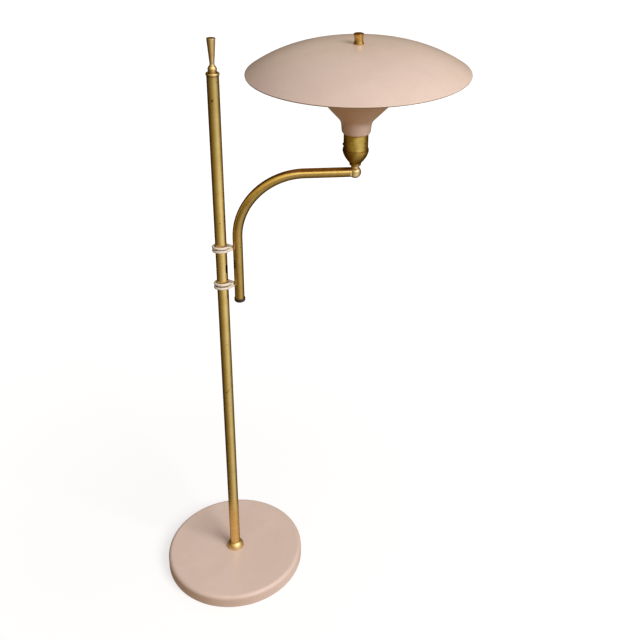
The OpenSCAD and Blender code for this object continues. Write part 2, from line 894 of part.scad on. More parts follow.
// --------------------------------------------------------------------- bulb

module bulb_base() {
    r = bulb_base_d / 2;
    color([0.80, 0.78, 0.72]) on_head() difference() {
        translate([0, 0, bulb_tip_z]) rotate_extrude() polygon([
            [0, 0], [5, 0], [5, 1.4], [8, 2], [r - 1.5, 4], [r, 5.5],
            [r, 4 + bulb_base_l], [0, 4 + bulb_base_l]
        ]);
        translate([0, 0, bulb_glass_z])
            cylinder(r = bulb_neck_d / 2 + fit, h = bulb_base_l);
    }
}

module bulb_glass() {
    neck = bulb_neck_d / 2;
    globe = bulb_d / 2;
    globe_z = bulb_top - globe;
    shoulder = 35;
    join = [globe * cos(-shoulder), globe_z + globe * sin(-shoulder)];
    path = concat(
        [[0, bulb_glass_z], [neck, bulb_glass_z]],
        curve([neck, bulb_base_z + bulb_base_l + 6],
              [neck + 1, (bulb_base_z + bulb_base_l + join[1]) / 2 + 6], join, 8),
        arc([0, globe_z], globe, -shoulder + 6, 90, 16)
    );
    inner = [for (p = backwards(shifted(path, 1))) [max(p[0], 0), p[1]]];
    color([0.97, 0.96, 0.92]) on_head() rotate_extrude() polygon(concat(path, inner));
}

// -------------------------------------------------------------------- shade

// three legs of bent flat strip on a hub
module shade_carrier() {
    out = leg_foot_r + leg_foot_l / 2;
    knee = [leg_foot_r - leg_foot_l / 2, hub_z - 18];
    strip = [
        [hub_d / 2 - 3, hub_z + leg_t], [hub_d / 2 + 20, hub_z + leg_t - 2],
        knee + [0, leg_t], [knee[0] + leg_t, knee[1]],
        [knee[0] + leg_t, funnel_top + leg_t], [out, funnel_top + leg_t],
        [out, funnel_top], [knee[0], funnel_top], knee,
        [hub_d / 2 + 20, hub_z - 2], [hub_d / 2 - 3, hub_z]
    ];
    color(steel) difference() {
        union() {
            on_hub() translate([0, 0, hub_z]) cylinder(d = hub_d, h = hub_t);
            on_head() for (a = leg_angles) rotate([90, 0, a])
                translate([0, 0, -leg_w / 2]) linear_extrude(leg_w) polygon(strip);
        }
        on_hub() translate([0, 0, hub_z - 1])
            cylinder(r = shade_stud_r + fit, h = hub_t + 2);
        on_head() for (a = leg_angles) rotate([0, 0, a])
            translate([leg_foot_r, 0, funnel_top - 1])
                cylinder(r = leg_screw_d / 2 + fit, h = leg_t + 2);
    }
}

module carrier_screws() {
    grip = leg_t + funnel_wall;
    head_t = 1.4;
    below = leg_nut_t + 1;
    color(steel) on_head() for (a = leg_angles) rotate([0, 0, a])
        translate([leg_foot_r, 0, funnel_top - funnel_wall]) {
            translate([0, 0, grip]) cylinder(d = 2 * leg_screw_d - 1, h = head_t);
            translate([0, 0, -below]) cylinder(d = leg_screw_d, h = grip + below + eps);
        }
}

module carrier_nuts() {
    color(steel) on_head() for (a = leg_angles) rotate([0, 0, a])
        translate([leg_foot_r, 0, funnel_top - funnel_wall - leg_nut_t])
            hex_nut(2 * leg_screw_d, leg_nut_t, leg_screw_d / 2 + fit);
}

module carrier_stud() {
    low = hub_z - nut_t - stud_end;
    color(steel) on_hub() translate([0, 0, low])
        cylinder(r = shade_stud_r, h = crown_z + finial_thread - low);
}

module carrier_stud_nut() {
    color(steel) on_hub() translate([0, 0, hub_z - nut_t])
        hex_nut(2 * shade_stud_d, nut_t, shade_stud_r + fit);
}

module fibre_washer() {
    color([0.45, 0.25, 0.18]) on_hub() translate([0, 0, hub_top])
        tube(hub_d / 2 - 3, shade_stud_r + fit, fibre_t);
}

module shade_dome() {
    top = [for (i = [0:shade_steps]) let (r = edge_r * sin(90 * i / shade_steps))
        [r, crown(r)]];
    under = [for (p = shifted(top, -shade_wall)) if (p[0] < edge_r - 2 * bead_r)
        [max(p[0], 0), p[1]]];
    roll = arc([shade_r - bead_r, rim_z], bead_r, bead_angle, -220, 16);
    color(enamel) on_hub() difference() {
        rotate_extrude($fn = 128) polygon(concat(top, roll, backwards(under)));
        translate([0, 0, crown_z - shade_wall - 1])
            cylinder(r = shade_stud_r + fit, h = shade_wall + 2);
    }
}

// a spool-shaped knob with a blind threaded hole
module shade_finial() {
    end_r = finial_d / 2;
    waist_r = finial_waist_d / 2;
    band = 1.6;
    profile = concat(
        [[0, 0], [end_r - 0.4, 0], [end_r, 0.4], [end_r, band]],
        curve([end_r - 0.5, band + 0.4],
              [2 * waist_r - end_r, finial_h / 2], [end_r - 0.5, finial_h - band - 0.4], 8),
        [[end_r, finial_h - band], [end_r, finial_h - 0.8],
         [end_r - 0.8, finial_h - 0.1], [0, finial_h]]
    );
    color(brass) on_hub() translate([0, 0, crown_z]) difference() {
        rotate_extrude() polygon(profile);
        translate([0, 0, -1]) cylinder(r = shade_stud_r + fit, h = finial_thread + 2);
    }
}

// ------------------------------------------------------------------ drawing

base_shell();
base_weight();
base_felt();
base_washer();
base_nut();
cord_inlet_bushing();
pole_tie_rod();
pole_foot_plug();
foot_collar();
pole_foot_tube();
pole_lower_tube();
pole_slot_tube();
pole_upper_tube();
pole_top_plug();
pole_top_ring();
pole_spire();
upper_friction_bush();
lower_friction_bush();
arm_tube();
upper_wire_ring();
lower_wire_ring();
arm_end_bushing();
arm_end_plug();
arm_nipple();
ball_elbow();
neck_nipple();
neck_nut();
socket_cap();
socket_shell();
socket_liner();
socket_body();
screw_shell();
centre_contact();
terminal_screws();
reflector_funnel();
funnel_clamp_ring();
bulb_base();
bulb_glass();
shade_carrier();
carrier_screws();
carrier_nuts();
carrier_stud();
carrier_stud_nut();
fibre_washer();
shade_dome();
shade_finial();
switch_key();
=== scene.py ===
"""Looks for a bridge floor lamp: a painted base and shade, and a brass pole and arm.

Every length is in metres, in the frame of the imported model: the origin is on the floor
under the pole, +Z is up and the arm reaches along +X.
"""

from __future__ import annotations

import logging
import math
from collections.abc import Sequence
from dataclasses import dataclass, replace
from enum import Enum

import bmesh
import bpy
from mathutils import Matrix, Vector


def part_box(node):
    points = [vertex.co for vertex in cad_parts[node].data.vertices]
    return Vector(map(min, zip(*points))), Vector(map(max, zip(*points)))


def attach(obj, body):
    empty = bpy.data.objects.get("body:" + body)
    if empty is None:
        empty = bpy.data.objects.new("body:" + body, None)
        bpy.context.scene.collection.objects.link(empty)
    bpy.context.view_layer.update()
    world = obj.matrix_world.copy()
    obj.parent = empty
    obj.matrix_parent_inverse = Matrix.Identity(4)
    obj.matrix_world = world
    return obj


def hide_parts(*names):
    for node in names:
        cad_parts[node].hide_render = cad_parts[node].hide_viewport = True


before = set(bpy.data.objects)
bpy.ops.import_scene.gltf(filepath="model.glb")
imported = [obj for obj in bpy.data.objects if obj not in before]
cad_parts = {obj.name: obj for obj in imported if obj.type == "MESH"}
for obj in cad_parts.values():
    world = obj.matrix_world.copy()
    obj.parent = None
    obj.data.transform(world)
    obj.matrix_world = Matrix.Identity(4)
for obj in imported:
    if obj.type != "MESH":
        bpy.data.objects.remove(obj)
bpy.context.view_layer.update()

log = logging.getLogger("floor_lamp")

MM = 0.001
BENT_TUBE_UV = "along_tube"
SMOOTH_ANGLE = math.radians(38)

Colour = tuple[float, float, float]
Span = tuple[float, float]                   # from and to
Ramp = tuple[float, float, float, float]     # from low, from high, to low, to high


def srgb(red: int, green: int, blue: int) -> Colour:
    """Turns a colour as it looks on a screen, 0 to 255, into linear light.

    Args:
        red: Red, 0 to 255.
        green: Green, 0 to 255.
        blue: Blue, 0 to 255.

    Returns:
        The three linear values, 0 to 1.
    """
    def linear(value: int) -> float:
        """Gives one channel in linear light."""
        share = value / 255
        return share / 12.92 if share <= 0.04045 else ((share + 0.055) / 1.055) ** 2.4
    return linear(red), linear(green), linear(blue)


class Grain(Enum):
    """The way that fine marks run on a metal surface."""

    ROUND_UPRIGHT = "rings round an upright axis"
    ALONG_UV = "rings round a bent tube, by its own UV map"


# ---------------------------------------------------------------------- shader tools


class Tree:
    """A thin layer over a node tree, for adding and linking nodes."""

    def __init__(self, tree: bpy.types.NodeTree) -> None:
        """Starts with an existing tree."""
        self.tree = tree

    def add(self, kind: str, **settings: object) -> bpy.types.Node:
        """Adds a node.

        Args:
            kind: The node's Blender type name.
            settings: Attributes to set on the node.

        Returns:
            The new node.
        """
        node = self.tree.nodes.new(kind)
        for name, value in settings.items():
            setattr(node, name, value)
        return node

    def put(self, value: object, socket: bpy.types.NodeSocket) -> None:
        """Links a value to a socket if it's a socket itself, or else sets it there.

        Args:
            value: A socket to link from, or a plain value.
            socket: The socket that gets it.
        """
        if isinstance(value, bpy.types.NodeSocket):
            self.tree.links.new(value, socket)
        else:
            socket.default_value = value

    def feed(self, node: bpy.types.Node, **inputs: object) -> bpy.types.Node:
        """Sets or links a node's inputs by name, with _ for a space.

        Args:
            node: The node to feed.
            inputs: A socket to link from, or a plain value.

        Returns:
            The same node.
        """
        for name, value in inputs.items():
            self.put(value, node.inputs[name.replace("_", " ")])
        return node

    def noise(self, vector: object, scale: object, detail: float,
              distortion: float = 0.0) -> bpy.types.NodeSocket:
        """Adds a noise texture.

        Args:
            vector: Where the pattern is read.
            scale: How fine it is.
            detail: How much finer detail lies on it.
            distortion: How far it is warped.

        Returns:
            Its value, about 0.3 to 0.7.
        """
        node = self.add("ShaderNodeTexNoise")
        self.feed(node, Vector=vector, Scale=scale, Detail=detail, Distortion=distortion)
        return node.outputs["Fac"]

    def stretch(self, value: object, low: float, high: float,
                to_low: float = 0.0, to_high: float = 1.0) -> bpy.types.NodeSocket:
        """Maps a range to another, smoothly and without going past its ends.

        Args:
            value: The value.
            low: Where the range starts.
            high: Where it ends, which can be below its start.
            to_low: What its start gives.
            to_high: What its end gives.

        Returns:
            The mapped value.
        """
        node = self.add("ShaderNodeMapRange", interpolation_type="SMOOTHSTEP")
        self.feed(node, Value=value, From_Min=low, From_Max=high, To_Min=to_low, To_Max=to_high)
        return node.outputs["Result"]

    def scaled(self, vector: object, size: Sequence[float],
               place: Sequence[float] = (0, 0, 0)) -> bpy.types.NodeSocket:
        """Scales a vector axis by axis after moving its zero to a place.

        Args:
            vector: The vector.
            size: The scale along each axis.
            place: The new zero.

        Returns:
            The scaled vector.
        """
        node = self.add("ShaderNodeMapping", vector_type="POINT")
        self.feed(node, Vector=vector, Scale=size, Location=[-p * s for p, s in zip(place, size)])
        return node.outputs["Vector"]

    def split(self, vector: object) -> tuple[bpy.types.NodeSocket, ...]:
        """Gives a vector's x, y and z."""
        return tuple(self.feed(self.add("ShaderNodeSeparateXYZ"), Vector=vector).outputs)

    def level(self, x: object, y: object) -> bpy.types.NodeSocket:
        """Gives the vector with an x and a y, and no z."""
        return self.feed(self.add("ShaderNodeCombineXYZ"), X=x, Y=y).outputs[0]

    def length(self, vector: object) -> bpy.types.NodeSocket:
        """Gives a vector's length."""
        node = self.add("ShaderNodeVectorMath", operation="LENGTH")
        return self.feed(node, Vector=vector).outputs["Value"]

    def brighten(self, colour: object, factor: object) -> bpy.types.NodeSocket:
        """Gives a colour times a factor, which can be more than 1."""
        node = self.add("ShaderNodeVectorMath", operation="SCALE")
        return self.feed(node, Vector=colour, Scale=factor).outputs[0]

    def calc(self, operation: str, first: object, second: object) -> bpy.types.NodeSocket:
        """Adds a math node.

        Args:
            operation: What it does.
            first: A socket or a number.
            second: A socket or a number.

        Returns:
            Its value.
        """
        node = self.add("ShaderNodeMath", operation=operation)
        self.put(first, node.inputs[0])
        self.put(second, node.inputs[1])
        return node.outputs[0]

    def times(self, first: object, *others: object) -> bpy.types.NodeSocket:
        """Multiplies values.

        Args:
            first: A socket or a number.
            others: The values to multiply it by.

        Returns:
            The product.
        """
        for other in others:
            first = self.calc("MULTIPLY", first, other)
        return first

    def blend(self, share: bpy.types.NodeSocket, first: object,
              second: object) -> bpy.types.NodeSocket:
        """Mixes two colours and gives the result.

        Args:
            share: 0 gives the first colour, 1 the second.
            first: A socket or a linear colour.
            second: A socket or a linear colour.

        Returns:
            The mixed colour.
        """
        node = self.add("ShaderNodeMix", data_type="RGBA")
        self.put(share, next(socket for socket in node.inputs if socket.name == "Factor"))
        colours = [socket for socket in node.inputs if socket.type == "RGBA"]
        for socket, value in zip(colours, (first, second)):
            self.put(value if isinstance(value, bpy.types.NodeSocket) else (*value, 1.0), socket)
        return next(socket for socket in node.outputs if socket.type == "RGBA")


def make_group(name: str, inputs: dict[str, tuple[str, float]],
               outputs: dict[str, str]) -> tuple[Tree, bpy.types.Node, bpy.types.Node]:
    """Makes an empty shader group with named sockets.

    Args:
        name: The group's name.
        inputs: Socket name to its type and default value.
        outputs: Socket name to its type.

    Returns:
        The group's tree, its input node and its output node.
    """
    group = bpy.data.node_groups.new(name, "ShaderNodeTree")
    for label, (kind, default) in inputs.items():
        socket = group.interface.new_socket(name=label, in_out="INPUT", socket_type=kind)
        if kind == "NodeSocketFloat":
            socket.default_value = default
    for label, kind in outputs.items():
        group.interface.new_socket(name=label, in_out="OUTPUT", socket_type=kind)
    tree = Tree(group)
    return tree, tree.add("NodeGroupInput"), tree.add("NodeGroupOutput")


@dataclass(frozen=True)
class Patina:
    """Cloudy age, fine mottling and small spots, which the finishes share.

    The fine mottling is fine_step times finer than the clouds. The largest spot's radius
    is spot_reach times the spot size. A span is the part of the noise that is used.
    """

    fine_step: float = 7.0
    spot_reach: float = 0.35
    cloud_warp: float = 0.4
    cloud_span: Span = (0.36, 0.66)
    fine_span: Span = (0.3, 0.7)

    def make(self) -> bpy.types.NodeTree:
        """Builds the shader group.

        Returns:
            A group with the masks Cloud, Fine and Spots, each 0 to 1.
        """
        tree, given, result = make_group(
            "patina",
            {"Vector": ("NodeSocketVector", 0), "Cloud Size": ("NodeSocketFloat", 0.03),
             "Spot Size": ("NodeSocketFloat", 0.004), "Spot Share": ("NodeSocketFloat", 0.2)},
            {"Cloud": "NodeSocketFloat", "Fine": "NodeSocketFloat", "Spots": "NodeSocketFloat"})
        vector = given.outputs["Vector"]
        cloud_scale = tree.calc("DIVIDE", 1.0, given.outputs["Cloud Size"])
        spot_scale = tree.calc("DIVIDE", 1.0, given.outputs["Spot Size"])
        cloud = tree.noise(vector, cloud_scale, 4.0, self.cloud_warp)
        fine = tree.noise(vector, tree.times(cloud_scale, self.fine_step), 5.0)
        cells = tree.add("ShaderNodeTexVoronoi", feature="F1")
        tree.feed(cells, Vector=vector, Scale=spot_scale)
        draw = tree.feed(tree.add("ShaderNodeSeparateColor"), Color=cells.outputs["Color"])
        chosen = tree.calc("LESS_THAN", draw.outputs[0], given.outputs["Spot Share"])
        reach = tree.times(draw.outputs[1], self.spot_reach)
        inside = tree.calc("LESS_THAN", cells.outputs["Distance"], reach)
        tree.feed(result, Cloud=tree.stretch(cloud, *self.cloud_span),
                  Fine=tree.stretch(fine, *self.fine_span), Spots=tree.times(chosen, inside))
        return tree.tree


@dataclass(frozen=True)
class Turning:
    """The fine rings that polishing on a lathe leaves, which the finishes share.

    Wide bands, wide_share as deep as the thin ones, lie under them. Along the piece and
    round it they're wide_step times as close together as the thin ones.
    """

    wide_step: tuple[float, float] = (0.08, 0.6)
    wide_share: float = 0.8

    def make(self) -> bpy.types.NodeTree:
        """Builds the shader group.

        Returns:
            A group with the value Height, made of thin bands of uneven depth.
        """
        tree, given, result = make_group(
            "turning_marks",
            {"Along": ("NodeSocketFloat", 0.0), "Around": ("NodeSocketFloat", 0.0),
             "Pitch": ("NodeSocketFloat", 0.0006)},
            {"Height": "NodeSocketFloat"})
        across = tree.calc("DIVIDE", given.outputs["Along"], given.outputs["Pitch"])
        place = tree.level(across, given.outputs["Around"])
        thin = tree.noise(place, 1.0, 3.0)
        wide = tree.noise(tree.scaled(place, (*self.wide_step, 1)), 1.0, 2.0)
        tree.feed(result, Height=tree.calc("ADD", thin, tree.times(wide, self.wide_share)))
        return tree.tree


@dataclass(frozen=True)
class Sweep:
    """What shiny surfaces see round them in the studio, by direction on the level.

    It is pale to the front right, where the light comes from, warm and dimmer at the
    sides, and a little paler again at the back. Turns are in degrees right of the front.
    """

    pale_turn: float = 42.0
    stops: tuple[tuple[float, Colour], ...] = (
        (0.00, (0.06, 0.04, 0.02)), (0.12, (0.10, 0.065, 0.03)), (0.28, (0.22, 0.16, 0.07)),
        (0.50, (0.34, 0.27, 0.11)), (0.65, (0.44, 0.38, 0.19)), (0.80, (0.60, 0.56, 0.38)),
        (0.92, (0.82, 0.80, 0.68)), (1.00, (1.08, 1.07, 1.00)))
    dim_turn: float = 125.0
    dim_ramp: Ramp = (0.5, 0.95, 1.0, 0.55)
    back_turn: float = 172.0
    back_ramp: Ramp = (0.80, 1.0, 0.0, 0.3)
    back_colour: Colour = (0.60, 0.50, 0.32)

    def make(self) -> bpy.types.NodeTree:
        """Builds the shader group.

        Returns:
            A group with the colour Sight of a direction.
        """
        tree, given, result = make_group("studio_sweep", {"Vector": ("NodeSocketVector", 0)},
                                         {"Sight": "NodeSocketColor"})
        x, y, _ = tree.split(given.outputs["Vector"])
        unit = tree.feed(tree.add("ShaderNodeVectorMath", operation="NORMALIZE"),
                         Vector=tree.level(x, y))

        def facing(degrees: float) -> bpy.types.NodeSocket:
            """Compares the direction with the one at a turn.

            Args:
                degrees: The turn.

            Returns:
                The cosine of the angle between the two.
            """
            turn = math.radians(degrees)
            node = tree.add("ShaderNodeVectorMath", operation="DOT_PRODUCT")
            tree.put(unit.outputs[0], node.inputs[0])
            tree.put((math.sin(turn), -math.cos(turn), 0), node.inputs[1])
            return node.outputs["Value"]

        ramp = tree.add("ShaderNodeValToRGB")
        while len(ramp.color_ramp.elements) < len(self.stops):
            ramp.color_ramp.elements.new(0.5)
        for element, (place, colour) in zip(ramp.color_ramp.elements, self.stops):
            element.position = place
            element.color = (*colour, 1.0)
        tree.feed(ramp, Fac=tree.times(tree.calc("ADD", facing(self.pale_turn), 1.0), 0.5))
        dim = tree.stretch(facing(self.dim_turn), *self.dim_ramp)
        back = tree.stretch(facing(self.back_turn), *self.back_ramp)
        sides = tree.brighten(ramp.outputs[0], dim)
        tree.feed(result, Sight=tree.blend(back, sides, self.back_colour))
        return tree.tree


class Finish:
    """A material with one Principled shader, for the finishes to fill in."""

    def __init__(self, name: str, slot: str) -> None:
        """Makes the material.

        Args:
            name: The material's name.
            slot: The record's material slot that it belongs to.
        """
        self.slot = slot
        self.material = bpy.data.materials.new(name)
        self.material.use_nodes = True
        self.tree = Tree(self.material.node_tree)
        self.material.node_tree.nodes.clear()
        output = self.tree.add("ShaderNodeOutputMaterial")
        self.shader = self.tree.add("ShaderNodeBsdfPrincipled")
        self.tree.feed(output, Surface=self.shader.outputs[0])
        place = self.tree.add("ShaderNodeTexCoord")
        self.place = place.outputs["Object"]
        self.normal = place.outputs["Normal"]

    def group(self, tree: bpy.types.NodeTree, **inputs: object) -> bpy.types.Node:
        """Places a shared group in the material.

        Args:
            tree: The group.
            inputs: Values or sockets for the group's inputs.

        Returns:
            The group's node.
        """
        node = self.tree.add("ShaderNodeGroup", node_tree=tree)
        return self.tree.feed(node, **inputs)

    def bump(self, height: object, depth: float) -> bpy.types.NodeSocket:
        """Adds a Bump node of a real depth in metres and gives its normal."""
        node = self.tree.add("ShaderNodeBump")
        return self.tree.feed(node, Height=height, Distance=depth).outputs[0]

    def varied(self, mask: object, middle: float, spread: Span) -> bpy.types.NodeSocket:
        """Gives a value that goes from one end of a spread round the middle to the other."""
        return self.tree.stretch(mask, 0, 1, middle + spread[0], middle + spread[1])

    def set(self, **inputs: object) -> None:
        """Sets or links the shader's own sockets."""
        self.tree.feed(self.shader, **inputs)


@dataclass(frozen=True)
class Enamel:
    """Baked enamel with a soft sheen, faint orange peel, dust, small chips and, where a rim is
    given, painted shade on its down-facing edge.
    """

    name: str
    colour: Colour
    shade: Colour
    cloudiness: float = 0.5
    cloud_size: float = 60 * MM
    dust: Colour = srgb(204, 186, 172)
    dust_share: float = 0.10
    chip: Colour = srgb(122, 92, 74)
    chip_size: float = 11 * MM
    chip_share: float = 0.006
    chip_strength: float = 0.25
    roughness: float = 0.34
    roughness_spread: Span = (-0.05, 0.07)
    coat: float = 0.5
    coat_roughness: float = 0.16
    peel_scale: float = 420.0
    peel_depth: float = 0.04 * MM
    # Painted shade on a rim's down-facing edge: the rim, then the band's width, colour, facing span
    # and strength.
    rim: tuple[float, float] | None = None
    rim_width: float = 1.6 * MM
    rim_shade_colour: Colour = srgb(96, 78, 56)
    rim_side: Span = (0.35, 0.05)
    rim_shade_strength: float = 0.85

    def rim_painted_shade(self, finish: Finish, paint: bpy.types.NodeSocket) -> bpy.types.NodeSocket:
        """Paints shade on the down-facing outer edge of a round rim.

        The rim's two numbers are the x of its axis and its radius.

        Args:
            finish: The finish.
            paint: The paint's colour so far.

        Returns:
            The paint's colour with painted shade on its rim.
        """
        tree = finish.tree
        middle, radius = self.rim
        x, y, _ = tree.split(finish.place)
        far = tree.length(tree.level(tree.calc("SUBTRACT", x, middle), y))
        outer = tree.stretch(far, radius - 2 * self.rim_width, radius - self.rim_width)
        below = tree.stretch(tree.split(finish.normal)[2], *self.rim_side)
        return tree.blend(tree.times(outer, below, self.rim_shade_strength), paint, self.rim_shade_colour)

    def make(self, kit: "Workshop") -> Finish:
        """Builds the material.

        Args:
            kit: The workshop, for its shared groups.

        Returns:
            The finish.
        """
        finish = Finish(self.name, "enamel")
        tree = finish.tree
        age = finish.group(kit.patina, Vector=finish.place, Cloud_Size=self.cloud_size,
                           Spot_Size=self.chip_size, Spot_Share=self.chip_share)
        cloud, fine, spots = age.outputs
        paint = tree.blend(tree.times(cloud, self.cloudiness), self.colour, self.shade)
        dusty = tree.blend(tree.times(fine, self.dust_share), paint, self.dust)
        worn = tree.blend(tree.times(spots, self.chip_strength), dusty, self.chip)
        peel = tree.noise(finish.place, self.peel_scale, 2.0)
        finish.set(Base_Color=self.rim_painted_shade(finish, worn) if self.rim else worn,
                   Roughness=finish.varied(cloud, self.roughness, self.roughness_spread),
                   Coat_Weight=self.coat, Coat_Roughness=self.coat_roughness, IOR=1.5,
                   Normal=finish.bump(peel, self.peel_depth))
        return finish


@dataclass(frozen=True)
class Stain:
    """A thin brown line that climbs round a tube about the Z axis, where a tie sat.

    Its angles, first and last, are in degrees from the front towards +X. Its ends fade
    over soft_ends radians, outwards and inwards, and lengths are in metres.
    """

    height: float
    first: float
    last: float
    climb: float
    width: float
    strength: float
    wave_scale: float = 180.0
    soft_ends: tuple[float, float] = (0.1, 0.3)

    def mask(self, finish: Finish) -> bpy.types.NodeSocket:
        """Gives where the line shows.

        Args:
            finish: The finish that is stained.

        Returns:
            A mask from 0 to the stain's strength.
        """
        tree = finish.tree
        x, y, z = tree.split(finish.place)
        start, end = math.radians(self.first), math.radians(self.last)
        turn = tree.calc("ARCTAN2", x, tree.times(y, -1.0))
        angle = tree.calc("SUBTRACT", turn, start)
        line = tree.times(angle, angle, self.climb / (end - start) ** 2)
        wavy = tree.times(tree.noise(finish.place, self.wave_scale, 3.0), self.width)
        over = tree.calc("SUBTRACT", tree.calc("SUBTRACT", z, self.height), line)
        middle = tree.calc("SUBTRACT", tree.calc("ADD", over, wavy), self.width / 2)
        near = tree.stretch(tree.calc("ABSOLUTE", middle, 0.0), self.width, self.width / 4)
        out, inwards = self.soft_ends
        within = tree.times(tree.stretch(angle, -out, out),
                            tree.stretch(angle, end - start + out, end - start - inwards))
        return tree.times(near, within, self.strength)


@dataclass(frozen=True)
class Brass:
    """Lacquered brass with lathe marks, cloudy tarnish, a few dark spots and, where asked, painted
    shade on faces that look down.

    The underside shade, from 0 to 1, is how far faces that look down get painted shade.
    Blots are dark marks, each with its centre and its size along the axes.
    """

    name: str
    slot: str
    bright: Colour
    tarnish: Colour
    edge: Colour = (0.30, 0.18, 0.08)
    roughness: float = 0.22
    roughness_spread: Span = (-0.04, 0.08)
    cloudiness: float = 0.45
    cloud_size: float = 22 * MM
    grain: Grain = Grain.ROUND_UPRIGHT
    lathe_pitch: float = 0.6 * MM
    lathe_depth: float = 0.01 * MM
    streaks: Span = (0.75, 1.1)
    streakiness: float = 0.16
    spot: Colour = srgb(92, 52, 26)
    spot_size: float = 6 * MM
    spot_share: float = 0.10
    spot_strength: float = 0.55
    spot_roughness: float = 0.25
    # Painted shade on faces that look down: its share, the normal's z span and its shadow colour.
    underside_shade: float = 0.0
    underside_shade_span: Span = (0.30, -0.30)
    underside_shade_colour: Colour = srgb(120, 84, 34)
    blots: tuple[tuple[Sequence[float], Sequence[float]], ...] = ()
    blot_wave_scale: float = 260.0
    blot_wave: float = 0.9
    blot_ramp: Ramp = (1.45, 0.85, 0.0, 0.8)
    stains: tuple[Stain, ...] = ()

    def blot(self, finish: Finish, centre: Sequence[float],
             size: Sequence[float]) -> bpy.types.NodeSocket:
        """Gives where one dark blot with a wavy edge shows.

        Args:
            finish: The finish.
            centre: The blot's centre.
            size: Its half sizes along x, y and z.

        Returns:
            A mask from 0 to the blot's strength.
        """
        tree = finish.tree
        wavy = tree.times(tree.noise(finish.place, self.blot_wave_scale, 3.0), self.blot_wave)
        far = tree.length(tree.scaled(finish.place, [1 / s for s in size], centre))
        return tree.stretch(tree.calc("ADD", far, wavy), *self.blot_ramp)

    def lathe_marks(self, finish: Finish, kit: "Workshop") -> bpy.types.NodeSocket:
        """Gives the height of the lathe marks, which follow the grain.

        Args:
            finish: The finish.
            kit: The workshop, for its shared groups.

        Returns:
            The height, about 0.5 to 1.3.
        """
        tree = finish.tree
        if self.grain is Grain.ALONG_UV:
            uv = tree.add("ShaderNodeUVMap", uv_map=BENT_TUBE_UV)
            along, around, _ = tree.split(uv.outputs[0])
        else:
            along, around = tree.split(finish.place)[2], 0.0
        return finish.group(kit.turning, Along=along, Around=around,
                            Pitch=self.lathe_pitch).outputs["Height"]

    def make(self, kit: "Workshop") -> Finish:
        """Builds the material.

        Args:
            kit: The workshop, for its shared groups.

        Returns:
            The finish.
        """
        finish = Finish(self.name, self.slot)
        tree = finish.tree
        age = finish.group(kit.patina, Vector=finish.place, Cloud_Size=self.cloud_size,
                           Spot_Size=self.spot_size, Spot_Share=self.spot_share)
        cloud, fine, specks = age.outputs
        height = self.lathe_marks(finish, kit)
        streaks = tree.times(tree.stretch(height, *self.streaks), self.streakiness)
        aged = tree.calc("ADD", tree.times(cloud, self.cloudiness), streaks)
        metal = tree.blend(aged, self.bright, self.tarnish)
        # Painted shade: faces that look down, by the normal's z, are darkened towards a shadow
        # colour.
        if self.underside_shade > 0:
            below = tree.stretch(tree.split(finish.normal)[2], *self.underside_shade_span,
                                 0.0, self.underside_shade)
            metal = tree.blend(below, metal, self.underside_shade_colour)
        spots = tree.times(specks, self.spot_strength)
        for centre, size in self.blots:
            spots = tree.calc("MAXIMUM", spots, self.blot(finish, centre, size))
        for stain in self.stains:
            spots = tree.calc("MAXIMUM", spots, stain.mask(finish))
        dull = finish.varied(fine, self.roughness, self.roughness_spread)
        finish.set(Base_Color=tree.blend(spots, metal, self.spot), Metallic=1.0,
                   Specular_Tint=(*self.edge, 1.0),
                   Roughness=tree.calc("ADD", dull, tree.times(spots, self.spot_roughness)),
                   Normal=finish.bump(height, self.lathe_depth))
        return finish


@dataclass(frozen=True)
class Plain:
    """A moulded, plated or woven finish with cloudy colour and a fine grain."""

    name: str
    slot: str
    colour: Colour
    second: Colour
    roughness: float = 0.5
    roughness_spread: Span = (-0.06, 0.06)
    metallic: float = 0.0
    cloud_size: float = 20 * MM
    grain_scale: float = 900.0
    grain_depth: float = 0.03 * MM
    coat: float = 0.0

    def make(self, kit: "Workshop") -> Finish:
        """Builds the material.

        Args:
            kit: The workshop, for its shared groups.

        Returns:
            The finish.
        """
        finish = Finish(self.name, self.slot)
        tree = finish.tree
        age = finish.group(kit.patina, Vector=finish.place, Cloud_Size=self.cloud_size)
        cloud, fine, _ = age.outputs
        grain = tree.noise(finish.place, self.grain_scale, 3.0)
        finish.set(Base_Color=tree.blend(cloud, self.colour, self.second),
                   Metallic=self.metallic, Coat_Weight=self.coat,
                   Roughness=finish.varied(fine, self.roughness, self.roughness_spread),
                   Normal=finish.bump(grain, self.grain_depth))
        return finish


# ---------------------------------------------------------------------- mesh tools


def finish_mesh(mesh: bmesh.types.BMesh, name: str) -> bpy.types.Object:
    """Turns a bmesh into an object in the scene, with smooth faces and sharp corners.

    Args:
        mesh: The bmesh, which is used up.
        name: The piece's name.

    Returns:
        The object.
    """
    bmesh.ops.recalc_face_normals(mesh, faces=mesh.faces)
    data = bpy.data.meshes.new(name)
    mesh.to_mesh(data)
    mesh.free()
    data.polygons.foreach_set("use_smooth", [True] * len(data.polygons))
    data.set_sharp_from_angle(angle=SMOOTH_ANGLE)
    piece = bpy.data.objects.new(name, data)
    bpy.context.scene.collection.objects.link(piece)
    return piece


